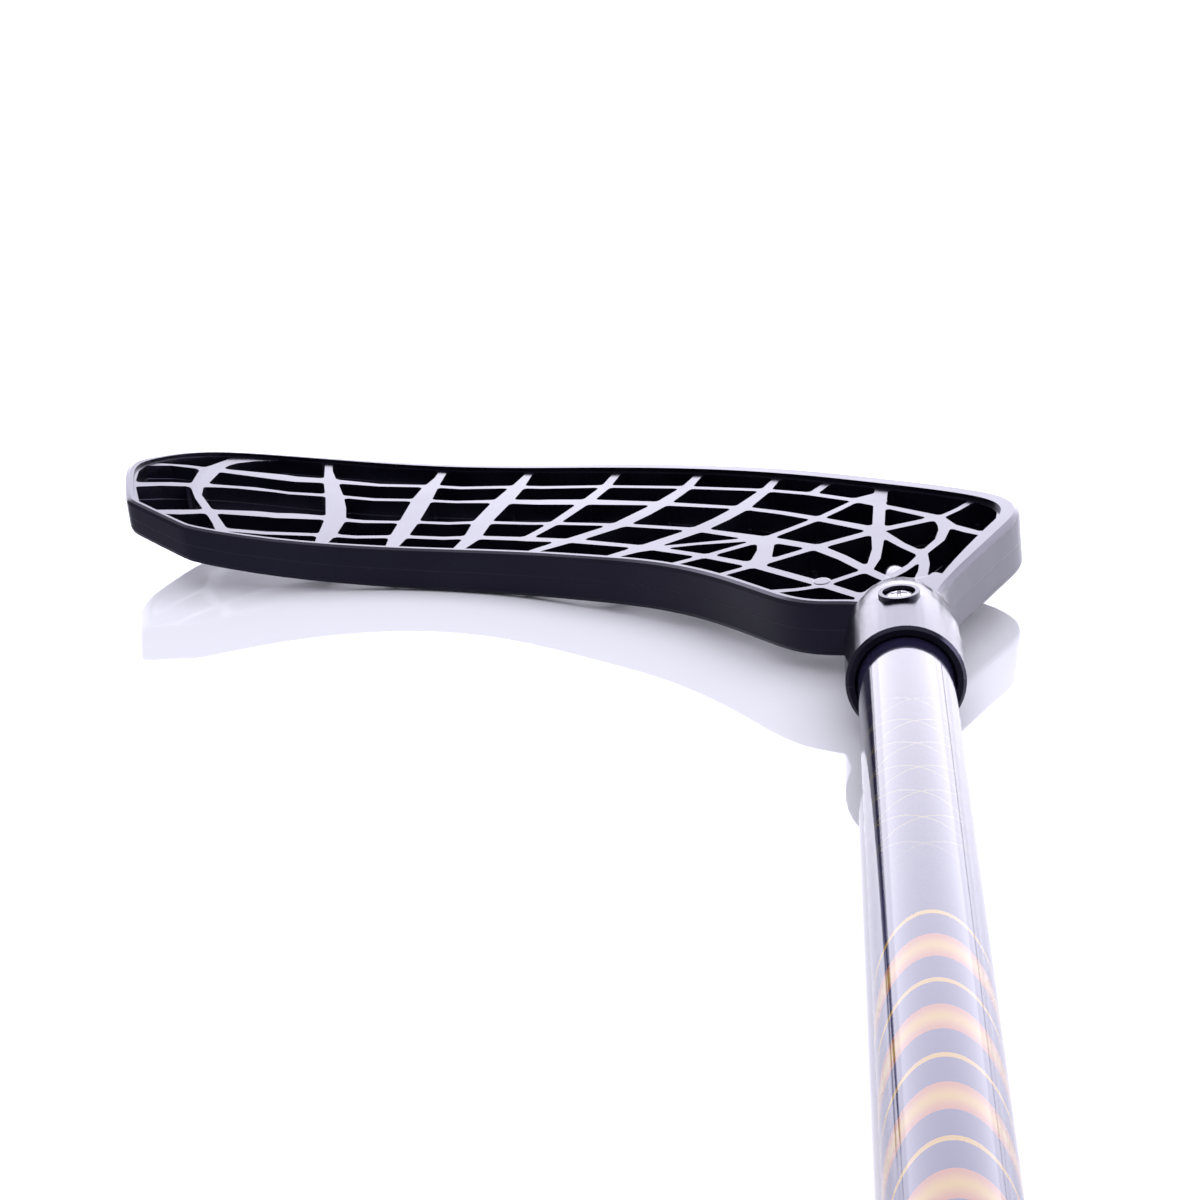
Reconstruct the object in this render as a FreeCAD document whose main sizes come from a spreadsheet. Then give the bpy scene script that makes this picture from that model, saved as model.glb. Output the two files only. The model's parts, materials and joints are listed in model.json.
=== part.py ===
import FreeCAD, Part
import math
import os

import Sketcher

# Floorball stick: a hooked, open-lattice blade screwed to a tubular shaft, with a wound grip, its end band
# and a butt cap. The pieces are drawn with the shaft's axis on Y, the neck's mouth at Y = 0, the blade
# beyond it towards -X and the blade's flat heel level. At the end the stick is rolled until it lies as it
# does on a floor: on the neck, the butt cap and the belly of the hooked blade.

# Driving sizes, in millimetres
SIZES = {
    # shaft
    "shaft_diameter": 24.0,
    "shaft_grip_diameter": 25.6,
    "shaft_wall": 1.6,
    "shaft_length": 900.0,
    "shaft_taper_length": 80.0,
    # blade outline and section
    "blade_length": 262.0,
    "blade_reach": 191.0,
    "heel_thickness": 16.5,
    "tip_thickness": 10.5,
    "hook_start": 105.0,
    "hook_radius": 320.0,
    "rim_wall": 2.6,
    "rim_edge_round": 1.5,
    "web_recess": 1.4,
    "rib_width": 2.4,
    "cell_round": 1.2,
    "cell_chord_sag": 0.25,
    # neck and its socket
    "neck_diameter": 30.0,
    "neck_length": 24.0,
    "neck_mouth_bevel": 0.8,
    "nose_length": 58.0,
    "socket_depth": 36.0,
    "socket_clearance": 0.15,
    "socket_lead": 0.6,
    # neck screws
    "screw_station": 23.0,
    "screw_diameter": 4.0,
    "screw_length": 10.0,
    "screw_head_diameter": 7.0,
    "screw_head_height": 1.7,
    "screw_recess_width": 1.1,
    "screw_recess_length": 4.2,
    "screw_recess_depth": 1.0,
    "screw_clearance": 0.3,
    "screw_seat_wall": 1.2,
    "head_clearance": 0.7,
    "boss_diameter": 10.6,
    "boss_height": 0.8,
    # grip, its end band and the butt cap
    "grip_length": 290.0,
    "grip_thickness": 1.5,
    "band_overlap": 12.0,
    "band_tail": 14.0,
    "band_thickness": 0.4,
    "sleeve_clearance": 0.1,
    "cap_flange_thickness": 7.0,
    "cap_edge_bevel": 1.5,
    "cap_plug_length": 32.0,
    "cap_plug_wall": 2.0,
    "cap_plug_clearance": 0.3,
    # how far a cutting shape runs past the face it opens
    "cut_overrun": 5.0,
}

# Blade outline, clockwise seen from above: shares of the blade's length along X and of its reach along
# Y, and the rim's wall there as a share of rim_wall. The first and last points lie inside the neck.
RIM_SHARES = (
    (-0.036, 0.130, 1.0), (-0.046, 0.200, 1.0), (-0.078, 0.212, 1.0), (-0.110, 0.236, 1.0),
    (-0.140, 0.280, 1.0), (-0.185, 0.353, 1.0), (-0.250, 0.430, 1.0), (-0.330, 0.488, 1.0),
    (-0.420, 0.539, 1.0), (-0.520, 0.567, 1.0), (-0.640, 0.569, 1.0), (-0.735, 0.563, 1.0),
    (-0.764, 0.563, 1.0), (-0.773, 0.565, 1.0), (-0.781, 0.570, 1.0), (-0.808, 0.592, 1.0),
    (-0.835, 0.613, 1.0), (-0.842, 0.621, 1.0), (-0.846, 0.633, 1.0), (-0.858, 0.700, 1.0),
    (-0.8645, 0.755, 1.0), (-0.862, 0.795, 1.0), (-0.850, 0.832, 0.9), (-0.805, 0.915, 0.8),
    (-0.730, 0.972, 0.9), (-0.645, 0.997, 1.1), (-0.560, 1.000, 1.3), (-0.450, 0.983, 1.4),
    (-0.330, 0.943, 1.6), (-0.210, 0.890, 1.8), (-0.100, 0.821, 2.0), (0.005, 0.731, 2.0),
    (0.088, 0.650, 2.0), (0.128, 0.588, 2.0), (0.1355, 0.528, 2.0), (0.117, 0.457, 2.0),
    (0.086, 0.365, 1.8), (0.056, 0.270, 1.4), (0.042, 0.200, 1.0), (0.036, 0.130, 1.0),
    (0.000, 0.112, 1.0),
)

# Long ribs, from the tip to the heel: places as above, and the width as a share of rib_width
LONG_RIB_SHARES = {
    "far": (
        (-0.862, 0.779, 0.8), (-0.800, 0.848, 0.9), (-0.750, 0.865, 1.7), (-0.695, 0.880, 2.2),
        (-0.650, 0.888, 1.6), (-0.600, 0.892, 1.1), (-0.500, 0.889, 1.0), (-0.400, 0.868, 1.0),
        (-0.300, 0.832, 0.9), (-0.200, 0.784, 0.9), (-0.100, 0.722, 0.9), (-0.045, 0.669, 1.0),
        (0.005, 0.606, 1.0), (0.050, 0.547, 1.4),
    ),
    "far_middle": (
        (-0.858, 0.683, 1.0), (-0.800, 0.760, 1.1), (-0.755, 0.791, 1.0), (-0.650, 0.816, 1.0),
        (-0.550, 0.820, 0.9), (-0.480, 0.814, 1.0), (-0.400, 0.793, 1.8), (-0.300, 0.752, 1.6),
        (-0.200, 0.697, 1.0), (-0.150, 0.662, 1.0), (-0.080, 0.591, 1.2), (-0.015, 0.514, 1.6),
    ),
    "near_middle": (
        (-0.812, 0.612, 1.2), (-0.785, 0.643, 1.3), (-0.755, 0.667, 1.3), (-0.700, 0.696, 1.8),
        (-0.650, 0.709, 1.6), (-0.600, 0.710, 1.0), (-0.500, 0.713, 0.9), (-0.400, 0.690, 0.9),
        (-0.300, 0.645, 0.9), (-0.215, 0.592, 1.1), (-0.138, 0.521, 1.6), (-0.083, 0.463, 1.5),
        (-0.032, 0.353, 1.3), (-0.008, 0.300, 1.3),
    ),
    "near": (
        (-0.738, 0.596, 1.0), (-0.700, 0.612, 1.0), (-0.600, 0.637, 1.0), (-0.525, 0.644, 1.0),
        (-0.450, 0.634, 1.2), (-0.400, 0.616, 1.3), (-0.300, 0.556, 1.1), (-0.200, 0.468, 1.1),
        (-0.147, 0.408, 1.2), (-0.075, 0.304, 1.3), (-0.035, 0.240, 1.2),
    ),
}

# Cross ribs, from the far rim to the near rim: broad in the middle and slim at the ends
CROSS_RIB_SHARES = {
    "tip": (
        (-0.738, 0.975, 5.2), (-0.758, 0.935, 2.4), (-0.774, 0.895, 1.4), (-0.784, 0.850, 2.1),
        (-0.787, 0.800, 2.1), (-0.787, 0.755, 1.3), (-0.768, 0.685, 1.1), (-0.735, 0.580, 1.2),
    ),
    "first": (
        (-0.665, 1.000, 1.2), (-0.658, 0.930, 1.1), (-0.648, 0.870, 1.9), (-0.636, 0.800, 2.3),
        (-0.626, 0.715, 2.5), (-0.626, 0.650, 2.2), (-0.630, 0.570, 1.0),
    ),
    "second": (
        (-0.526, 1.000, 1.6), (-0.528, 0.940, 1.1), (-0.535, 0.872, 2.1), (-0.539, 0.790, 2.5),
        (-0.543, 0.710, 2.4), (-0.547, 0.650, 2.2), (-0.552, 0.570, 1.0),
    ),
    "third": (
        (-0.417, 0.985, 1.6), (-0.424, 0.920, 1.1), (-0.433, 0.862, 2.1), (-0.446, 0.790, 2.5),
        (-0.459, 0.705, 2.4), (-0.464, 0.645, 2.2), (-0.482, 0.570, 1.0),
    ),
    "fourth": (
        (-0.309, 0.945, 1.6), (-0.318, 0.880, 1.1), (-0.330, 0.820, 1.5), (-0.352, 0.750, 1.5),
        (-0.375, 0.683, 1.4), (-0.405, 0.618, 1.2),
    ),
    "fifth": (
        (-0.209, 0.900, 1.4), (-0.219, 0.845, 1.1), (-0.235, 0.782, 1.7), (-0.262, 0.716, 2.1),
        (-0.302, 0.644, 2.1), (-0.356, 0.590, 1.7), (-0.408, 0.540, 1.0),
    ),
    "sixth": (
        (-0.121, 0.845, 1.4), (-0.130, 0.782, 1.1), (-0.145, 0.728, 1.7), (-0.167, 0.668, 2.1),
        (-0.210, 0.592, 2.1), (-0.265, 0.533, 2.0), (-0.318, 0.490, 1.0),
    ),
    "stub": ((-0.062, 0.795, 1.1), (-0.071, 0.748, 1.0), (-0.088, 0.708, 1.4)),
}

# Heel truss: straight and bent ribs between its knots
HEEL_RIB_SHARES = {
    "star_far": ((-0.007, 0.750, 1.4), (-0.009, 0.690, 1.6), (-0.012, 0.620, 1.5), (-0.015, 0.514, 1.5)),
    "star_gusset": ((-0.046, 0.662, 0.6), (-0.005, 0.668, 4.0)),
    "star_heel": ((-0.015, 0.514, 1.4), (0.050, 0.547, 1.3)),
    "star_near": ((-0.015, 0.514, 1.5), (-0.083, 0.463, 1.4)),
    "star_neck": ((-0.015, 0.514, 1.7), (-0.017, 0.450, 1.3), (-0.021, 0.390, 1.2), (-0.031, 0.345, 1.2)),
    "star_socket": ((-0.015, 0.514, 1.2), (0.004, 0.452, 1.1), (0.027, 0.398, 1.2)),
    "heel_far": ((0.050, 0.547, 1.0), (0.080, 0.592, 0.8), (0.098, 0.640, 1.0)),
    "heel_wall": ((0.050, 0.547, 1.5), (0.066, 0.497, 1.1), (0.098, 0.455, 1.3)),
    "heel_arc": ((0.050, 0.547, 1.5), (0.054, 0.500, 1.3), (0.047, 0.445, 1.2), (0.027, 0.398, 1.3)),
    "socket_heel": ((0.027, 0.398, 1.4), (0.029, 0.350, 1.2), (0.022, 0.290, 1.4)),
    "socket_near": ((0.027, 0.392, 1.0), (0.013, 0.347, 1.0), (-0.014, 0.303, 1.2)),
    "neck_link": ((-0.031, 0.347, 1.0), (-0.075, 0.304, 1.0)),
    "neck_near": ((-0.072, 0.302, 0.9), (-0.100, 0.294, 0.9), (-0.140, 0.297, 0.9)),
    "fan_bar": ((-0.138, 0.521, 1.5), (-0.190, 0.526, 0.9), (-0.275, 0.520, 1.4)),
    "fan_spoke": ((-0.138, 0.518, 1.1), (-0.200, 0.468, 1.0)),
    "fan_post": ((-0.138, 0.521, 2.1), (-0.136, 0.465, 2.0), (-0.146, 0.405, 2.6)),
    "fan_brace": ((-0.083, 0.463, 1.2), (-0.147, 0.408, 1.2)),
    "long_brace": ((-0.138, 0.521, 1.1), (-0.080, 0.591, 1.1), (-0.036, 0.662, 0.9)),
    "rim_brace": ((-0.147, 0.408, 1.0), (-0.195, 0.372, 1.0)),
    "rim_spoke": ((-0.200, 0.468, 1.0), (-0.252, 0.433, 1.0)),
}

# Solid pad of the web round the end of the neck
NECK_PAD_SHARES = (
    (-0.052, 0.100), (-0.046, 0.232), (-0.024, 0.285), (-0.008, 0.306), (0.014, 0.302),
    (0.026, 0.292), (0.038, 0.318), (0.060, 0.285), (0.052, 0.100),
)

# The neck's nose, a dome drawn out into a slender end: its radius as a share of the neck's, at shares of
# the nose's length
NOSE_SHARES = (
    (1.00, 0.00), (0.94, 0.19), (0.75, 0.38), (0.44, 0.54), (0.30, 0.74), (0.00, 1.00),
)

# The blade's ends, as shares of its length from the shaft's axis
HEEL_SHARE, TIP_SHARE = 0.1355, -0.8645
# How many flats the web's hook is drawn in
HOOK_FLATS = 5
# A lattice opening's corner takes no more than this share of either side, nor of the rounding's radius, and
# a turn this slight stays
CORNER_SHARE, SHARP_CORNER_SHARE = 0.3, 1.5
SMOOTH_TURN = math.radians(12)
# The web's plate ends this far through the rim's wall, and its openings leave a ledge inside that wall
WEB_SEAT_SHARE, CELL_EDGE_SHARE = 0.5, 1.2
# The rim's faces each run past this many of its points
RIM_SPAN = 3
# How many places along the rim are tried for the one that rests on the floor
ROLL_STATIONS = 400
# A rounded edge is drawn in two flats, which meet this share of its radius inside the sharp corner
ROUND_SHARE = 1 - math.cos(math.radians(45))

AXIS_X = FreeCAD.Vector(1, 0, 0)
AXIS_Y = FreeCAD.Vector(0, 1, 0)
AXIS_Z = FreeCAD.Vector(0, 0, 1)

doc = FreeCAD.newDocument("floorball_stick")


def make_sheet():
    """Put every driving size in its own aliased cell."""
    sheet = doc.addObject("Spreadsheet::Sheet", "sizes")
    for row, (alias, value) in enumerate(SIZES.items(), start=1):
        sheet.set(f"A{row}", alias)
        sheet.set(f"B{row}", str(value))
        sheet.setAlias(f"B{row}", alias)
    doc.recompute()
    return sheet


sheet = make_sheet()


def size(alias):
    """Read one driving size from its cell."""
    return float(sheet.get(alias))


def value(expression):
    """Work out an expression of driving sizes."""
    return float(sheet.evalExpression(expression))


def bind(piece, **expressions):
    """Tie properties of a piece to expressions of driving sizes."""
    for name, expression in expressions.items():
        piece.setExpression(name, expression)


# Sketched and revolved pieces

def plane_of(body, role):
    """Find one of a body's own origin planes."""
    return next(feature for feature in body.Origin.OriginFeatures if feature.Role == role)


def new_sketch(body, name, role):
    """Start a sketch on one of the body's origin planes."""
    sketch = body.newObject("Sketcher::SketchObject", name)
    sketch.AttachmentSupport = [(plane_of(body, role), "")]
    sketch.MapMode = "FlatFace"
    return sketch


def pin_point(sketch, geometry, point, across, along):
    """Hold a sketch point at two expressions, or on an axis where an expression is zero."""
    for kind, axis, expression in (("DistanceX", -2, across), ("DistanceY", -1, along)):
        if expression == "0":
            sketch.addConstraint(Sketcher.Constraint("PointOnObject", geometry, point, axis))
            continue
        constraint = Sketcher.Constraint(kind, -1, 1, geometry, point, value(expression))
        index = sketch.addConstraint(constraint)
        sketch.setExpression(f"Constraints[{index}]", expression)


def draw_polygon(sketch, corners):
    """Draw a closed polygon whose corners are pairs of expressions."""
    spots = [FreeCAD.Vector(value(across), value(along), 0) for across, along in corners]
    sides = [
        sketch.addGeometry(Part.LineSegment(start, spots[(i + 1) % len(spots)]), False)
        for i, start in enumerate(spots)
    ]
    for i, side in enumerate(sides):
        sketch.addConstraint(Sketcher.Constraint("Coincident", side, 2, sides[(i + 1) % len(sides)], 1))
        pin_point(sketch, side, 1, *corners[i])


def draw_circle(sketch, across, along, radius):
    """Draw a circle placed and sized by expressions."""
    centre = FreeCAD.Vector(value(across), value(along), 0)
    circle = sketch.addGeometry(Part.Circle(centre, AXIS_Z, value(radius)), False)
    pin_point(sketch, circle, 3, across, along)
    index = sketch.addConstraint(Sketcher.Constraint("Radius", circle, value(radius)))
    sketch.setExpression(f"Constraints[{index}]", radius)


def turned_body(label, profile):
    """Turn a closed half profile of radius and station pairs about the Y axis."""
    body = doc.addObject("PartDesign::Body", label)
    sketch = new_sketch(body, f"{label}_profile", "XY_Plane")
    draw_polygon(sketch, profile)
    turn = body.newObject("PartDesign::Revolution", f"{label}_turn")
    turn.Profile = sketch
    turn.ReferenceAxis = (sketch, ["V_Axis"])
    doc.recompute()
    return body


def cut_pocket(body, sketch, depth):
    """Pocket a sketch into a body along the sketch's normal."""
    before = body.Shape.Volume
    pocket = body.newObject("PartDesign::Pocket", f"{sketch.Label}_pocket")
    pocket.Profile = sketch
    pocket.Reversed = True
    bind(pocket, Length=depth)
    doc.recompute()
    if body.Shape.Volume >= before:
        raise RuntimeError(f"{sketch.Label} cuts nothing")


def cylinder(name, radius, height, place):
    """Make a bound cylinder along its own Z at a placement."""
    solid = doc.addObject("Part::Cylinder", name)
    bind(solid, Radius=radius, Height=height)
    solid.Placement = place
    return solid


def along_y(station):
    """Place a piece's own Z axis along +Y, starting at a station."""
    return FreeCAD.Placement(AXIS_Y * station, FreeCAD.Rotation(AXIS_Z, AXIS_Y))


# Blade

def plan_point(x_share, y_share):
    """A point of the blade's plan from its shares."""
    return FreeCAD.Vector(x_share * size("blade_length"), y_share * size("blade_reach"), 0)


def curve_through(points):
    """A smooth open curve through points."""
    curve = Part.BSplineCurve()
    curve.interpolate(Points=points)
    return curve


def closed_face(edges):
    """A face inside edges that join up in any order."""
    return Part.Face(Part.Wire(Part.__sortEdges__(edges)))


def side_point(curve, point, distance):
    """The point beside a curve, a distance to the left of its direction at a point."""
    tangent, = curve.tangent(curve.parameter(point))
    return point + AXIS_Z.cross(tangent).normalize() * distance


def hook_rise(x):
    """How far the hooked blade has risen at x: nothing at the heel, then along an arc."""
    run = max(0.0, -x - size("hook_start"))
    return size("hook_radius") - math.sqrt(size("hook_radius") ** 2 - run ** 2)


def half_thickness(x):
    """Half the rim's height at x, tapering evenly from heel to tip."""
    share = (HEEL_SHARE - x / size("blade_length")) / (HEEL_SHARE - TIP_SHARE)
    return (size("heel_thickness") + (size("tip_thickness") - size("heel_thickness")) * share) / 2


def surface_point(point, side, drop):
    """The point of the blade's top (side 1) or bottom (side -1) over a plan point, drawn in by a drop."""
    height = hook_rise(point.x) + side * (half_thickness(point.x) - drop)
    return FreeCAD.Vector(point.x, point.y, height)


def rim_knots():
    """How far along the outline each of the rim's points lies, with the first again at the end."""
    plan = [plan_point(x, y) for x, y, _ in RIM_SHARES]
    knots = [0.0]
    for start, end in zip(plan, plan[1:] + plan[:1]):
        knots.append(knots[-1] + start.distanceToPoint(end))
    return knots


def rim_curve(points):
    """A smooth closed curve through one point for each of the rim's, all with the same knots."""
    curve = Part.BSplineCurve()
    curve.interpolate(Points=points, PeriodicFlag=True, Parameters=rim_knots())
    return curve


def rim_points(wall_share, inset):
    """Plan points along the rim, drawn in from its outline by a share of its wall and a distance."""
    outline = rim_curve([plan_point(x, y) for x, y, _ in RIM_SHARES])
    return [
        side_point(outline, plan_point(x, y), -wall * wall_share * size("rim_wall") - inset)
        for x, y, wall in RIM_SHARES
    ]


def rim_loop(side, drop, wall_share=0, inset=0):
    """A closed curve along the rim on the blade's top or bottom."""
    return rim_curve([surface_point(point, side, drop) for point in rim_points(wall_share, inset)])


def ruled_band(loop, following):
    """The straight-sided surface between two loops of the rim."""
    poles = [list(pair) for pair in zip(loop.getPoles(), following.getPoles())]
    band = Part.BSplineSurface()
    band.buildFromPolesMultsKnots(
        poles, loop.getMultiplicities(), [2, 2], loop.getKnots(), [0, 1], True, False, loop.Degree, 1,
    )
    return band


def blade_rim():
    """The rim: a wall round the outline, as high as the blade, with its outer edges rounded."""
    rounding = size("rim_edge_round")
    loops = []
    for side in (1, -1):
        half = [
            rim_loop(side, 0, wall_share=1),
            rim_loop(side, 0, inset=rounding),
            rim_loop(side, rounding * ROUND_SHARE, inset=rounding * ROUND_SHARE),
            rim_loop(side, rounding),
        ]
        loops += half[::side]
    knots = rim_knots()
    ends = knots[:-1:RIM_SPAN] + knots[-1:]
    faces = []
    for loop, following in zip(loops, loops[1:] + loops[:1]):
        band = ruled_band(loop, following)
        faces += [band.toShape(start, end, 0, 1) for start, end in zip(ends, ends[1:])]
    skin = Part.makeCompound(faces)
    skin.sewShape()
    solid = Part.Solid(skin.Shells[0])
    if solid.Volume < 0:
        solid.reverse()
    return solid


def hooked_slab(recess):
    """The space between the blade's top and bottom surfaces, drawn in by a recess, with its hook in flats."""
    heel = HEEL_SHARE * size("blade_length") + size("cut_overrun")
    start = -size("hook_start")
    tip = TIP_SHARE * size("blade_length") - size("cut_overrun")
    stations = [heel] + [start + (tip - start) * flat / HOOK_FLATS for flat in range(HOOK_FLATS + 1)]
    upper, lower = (
        [surface_point(AXIS_X * station, side, recess) for station in stations] for side in (1, -1)
    )
    section = Part.Face(Part.makePolygon(upper + lower[::-1] + upper[:1]))
    return section.extrude(AXIS_Y * (size("blade_reach") + size("cut_overrun")))


def upright(face):
    """A plan face drawn up and down past the blade's whole height."""
    reach = size("hook_radius") / 4
    return face.translated(AXIS_Z * -reach).extrude(AXIS_Z * 2 * reach)


def rib_face(rib):
    """A rib's plan: a strip along the curve through its points, as wide as each point says."""
    spots = [plan_point(x, y) for x, y, _ in rib]
    halves = [share * size("rib_width") / 2 for _, _, share in rib]
    centre = curve_through(spots)
    left = [side_point(centre, spot, half) for spot, half in zip(spots, halves)]
    right = [side_point(centre, spot, -half) for spot, half in zip(spots, halves)]
    return closed_face([
        curve_through(left).toShape(), Part.makeLine(left[-1], right[-1]),
        curve_through(right).toShape(), Part.makeLine(right[0], left[0]),
    ])


def side_station(side, distance, at_end):
    """The parameter, point and travel direction a distance along a side from its start or its end."""
    backwards = side.Orientation == "Reversed"
    length = side.Length - distance if at_end != backwards else distance
    parameter = side.getParameterByLength(length)
    direction = side.tangentAt(parameter)
    return parameter, side.valueAt(parameter), direction * (-1 if backwards else 1)


def corner_trim(side, following):
    """How much a corner's rounding takes off the two sides that meet there."""
    turn = side_station(side, 0, True)[2].getAngle(side_station(following, 0, False)[2])
    if turn < SMOOTH_TURN:
        return 0
    reach = size("cell_round") * min(math.tan(turn / 2), SHARP_CORNER_SHARE)
    return min(reach, CORNER_SHARE * min(side.Length, following.Length))


def rounded_cell(gap):
    """A lattice opening with its corners rounded, drawn in short chords."""
    sides = gap.OuterWire.OrderedEdges
    sag = size("cell_chord_sag")
    trims = [corner_trim(side, sides[(i + 1) % len(sides)]) for i, side in enumerate(sides)]
    points = []
    for i, side in enumerate(sides):
        first, _, _ = side_station(side, trims[i - 1], False)
        last, end, _ = side_station(side, trims[i], True)
        run = side.discretize(Deflection=sag, First=min(first, last), Last=max(first, last))
        points += run[:-1] if first < last else run[:0:-1]
        if not trims[i]:
            continue
        corner = side.lastVertex(True).Point
        _, start, _ = side_station(sides[(i + 1) % len(sides)], trims[i], False)
        chord_middle = (end + start) / 2
        middle = corner + (chord_middle - corner) / (1 + end.distanceToPoint(start) / (2 * trims[i]))
        points += Part.Arc(end, middle, start).toShape().discretize(Deflection=sag)[:-1]
    return Part.Face(Part.makePolygon(points + points[:1]))


def blade_web():
    """The lattice: a plate inside the rim with an opening in every gap between the ribs."""
    ribs = {**LONG_RIB_SHARES, **CROSS_RIB_SHARES, **HEEL_RIB_SHARES}
    strips = [rib_face(rib) for rib in ribs.values()]
    pad = Part.makePolygon([plan_point(*share) for share in NECK_PAD_SHARES + NECK_PAD_SHARES[:1]])
    strips.append(Part.Face(pad))
    plan, inside = (
        closed_face([rim_curve(rim_points(share, 0)).toShape()]) for share in (WEB_SEAT_SHARE, CELL_EDGE_SHARE)
    )
    least = size("rib_width") ** 2
    cells = [upright(rounded_cell(gap)) for gap in inside.cut(strips).Faces if gap.Area > least]
    plate = upright(plan).common(hooked_slab(size("web_recess")))
    return plate.cut(cells)


def blade_neck():
    """The neck: a short cylinder with a bevelled mouth, drawn out into a slender nose."""
    radius, bevel = size("neck_diameter") / 2, size("neck_mouth_bevel")
    mouth = [FreeCAD.Vector(), AXIS_X * (radius - bevel), AXIS_X * radius + AXIS_Y * bevel]
    nose = [
        FreeCAD.Vector(share * radius, size("neck_length") + along * size("nose_length"), 0)
        for share, along in NOSE_SHARES
    ]
    section = Part.Face(Part.makePolygon(mouth + nose + mouth[:1]))
    return section.revolve(FreeCAD.Vector(), AXIS_Y, 360)


def feature(label, shape):
    """Keep a shape as an object of the document."""
    piece = doc.addObject("Part::Feature", label)
    piece.Shape = shape
    return piece


def make_blade():
    """Rim, lattice and neck in one moulding, with the socket and the two screw seats cut into it."""
    rim = feature("blade_rim", blade_rim())
    web = feature("blade_web", blade_web())
    neck = feature("blade_neck", blade_neck())
    boss = cylinder(
        "screw_boss", "sizes.boss_diameter / 2", "sizes.neck_diameter / 2 + sizes.boss_height",
        FreeCAD.Placement(AXIS_Y * size("screw_station"), FreeCAD.Rotation()),
    )
    moulding = doc.addObject("Part::MultiFuse", "blade_moulding")
    moulding.Shapes = [rim, web, neck, boss]

    socket_radius = "(sizes.shaft_diameter / 2 + sizes.socket_clearance)"
    socket = cylinder("socket", socket_radius, "sizes.socket_depth + sizes.cut_overrun",
                      along_y(-size("cut_overrun")))
    lead = doc.addObject("Part::Cone", "socket_lead")
    bind(lead, Radius1=f"{socket_radius} + sizes.socket_lead", Radius2=socket_radius,
         Height="sizes.socket_lead")
    lead.Placement = along_y(0)
    cuts = [socket, lead]
    for side, outward in (("top", AXIS_Z), ("heel", AXIS_X)):
        turn = FreeCAD.Rotation(AXIS_Z, outward)
        station = AXIS_Y * size("screw_station")
        cuts.append(cylinder(
            f"screw_hole_{side}", "sizes.screw_diameter / 2 + sizes.screw_clearance",
            "sizes.neck_diameter", FreeCAD.Placement(station, turn),
        ))
        cuts.append(cylinder(
            f"screw_seat_{side}", "sizes.screw_head_diameter / 2 + sizes.head_clearance",
            "sizes.neck_diameter", FreeCAD.Placement(station + outward * seat_height(side), turn),
        ))
    tools = doc.addObject("Part::MultiFuse", "blade_cuts")
    tools.Shapes = cuts
    blade = doc.addObject("Part::Cut", "blade")
    blade.Base = moulding
    blade.Tool = tools
    doc.recompute()
    return blade


# Shaft, screws and the grip end

def seat_height(side):
    """How far from the shaft's axis a screw head's seat lies: the top one is raised by its boss."""
    wall = size("screw_seat_wall") + (size("boss_height") / 2 if side == "top" else 0)
    return size("shaft_diameter") / 2 + size("socket_clearance") + wall


def make_shaft():
    """The tube: straight under the grip, tapering, then straight to the blade; drilled for the screws."""
    grip, blade = "sizes.shaft_grip_diameter / 2", "sizes.shaft_diameter / 2"
    straight = "sizes.grip_length + sizes.band_tail * 2"
    taper_end = f"{straight} + sizes.shaft_taper_length"
    bore = f"{blade} - sizes.shaft_wall"
    shaft = turned_body("shaft", [
        (bore, "0"), (grip, "0"), (grip, straight), (blade, taper_end), (blade, "sizes.shaft_length"),
        (bore, "sizes.shaft_length"),
    ])
    station = "sizes.shaft_length - sizes.socket_depth + sizes.screw_station"
    radius = "sizes.screw_diameter / 2 + sizes.screw_clearance"
    top = new_sketch(shaft, "shaft_hole_top", "XY_Plane")
    draw_circle(top, "0", station, radius)
    cut_pocket(shaft, top, "sizes.shaft_diameter")
    heel = new_sketch(shaft, "shaft_hole_heel", "YZ_Plane")
    draw_circle(heel, station, "0", radius)
    cut_pocket(shaft, heel, "sizes.shaft_diameter")
    return shaft


def make_screw(side):
    """A flat-topped screw with a plain shank and a cross recess, standing on its shank's end."""
    label = f"neck_screw_{side}"
    shank, head = "sizes.screw_diameter / 2", "sizes.screw_head_diameter / 2"
    top = "sizes.screw_length + sizes.screw_head_height"
    screw = turned_body(label, [
        ("0", "0"), (shank, "0"), (shank, "sizes.screw_length"),
        (head, "sizes.screw_length"), (head, top), ("0", top),
    ])
    long, wide = "sizes.screw_recess_length / 2", "sizes.screw_recess_width / 2"
    for name, across, up in (("slot", long, wide), ("cross_slot", wide, long)):
        recess = new_sketch(screw, f"{label}_{name}", "XZ_Plane")
        draw_polygon(recess, [(f"-{across}", f"-{up}"), (across, f"-{up}"), (across, up), (f"-{across}", up)])
        recess.setExpression("AttachmentOffset.Base.z", f"-({top})")
        doc.recompute()
        cut_pocket(screw, recess, "sizes.screw_recess_depth")
    return screw


def make_grip():
    """The wound grip: a sleeve on the shaft."""
    inside = "sizes.shaft_grip_diameter / 2 + sizes.sleeve_clearance"
    outside = f"{inside} + sizes.grip_thickness"
    return turned_body("grip_wrap", [
        (inside, "0"), (outside, "0"), (outside, "sizes.grip_length"), (inside, "sizes.grip_length"),
    ])


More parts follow.
